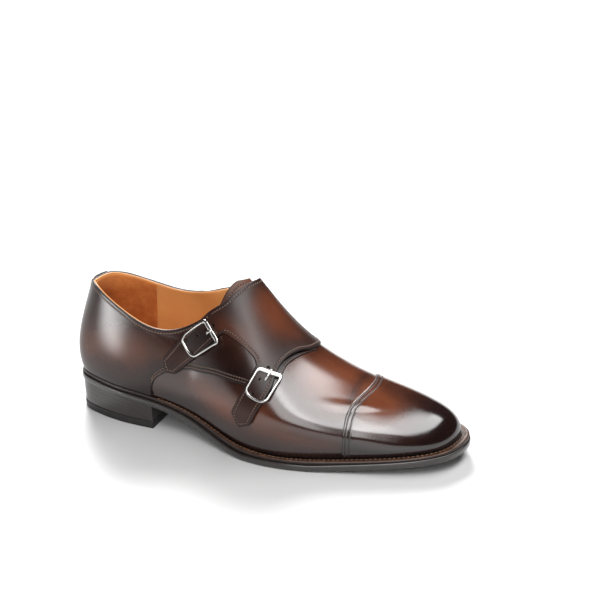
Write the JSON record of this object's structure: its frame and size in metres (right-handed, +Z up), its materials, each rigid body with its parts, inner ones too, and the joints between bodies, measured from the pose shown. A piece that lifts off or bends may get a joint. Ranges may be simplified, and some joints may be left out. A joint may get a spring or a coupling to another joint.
{
  "type": "double monk strap shoe",
  "caption": "Right double monk strap dress shoe with a straight toe cap, buckled straps, a welted leather sole and a stacked heel, hollow inside.",
  "frame": {"origin": "centre of the heel's ground face, on the floor plane", "axes": "+X towards the toe, +Y towards the inner side of the foot, +Z up"},
  "size_m": [0.3041, 0.1074, 0.117],
  "materials": {
    "upper": "burnished dark brown calf, polished",
    "insole": "smooth tan leather",
    "lining": "smooth tan leather, suede at the heel",
    "welt": "brown leather, wheeled and stitched",
    "sole": "black edge dye, satin",
    "heel": "stacked leather, dark brown dye, satin",
    "top_piece": "fine textured rubber",
    "buckle": "polished nickel",
    "thread": "waxed thread"
  },
  "bodies": {
    "root": {"outsole": "sole", "heel_stack": "heel", "top_piece": "top_piece", "welt": "welt", "insole": "insole", "upper": "upper", "tongue": "upper", "toe_cap": "upper", "strap_panel": "upper", "buckle_upper": "buckle", "prong_upper": "buckle", "buckle_lower": "buckle", "prong_lower": "buckle"}
  },
  "joints": []
}
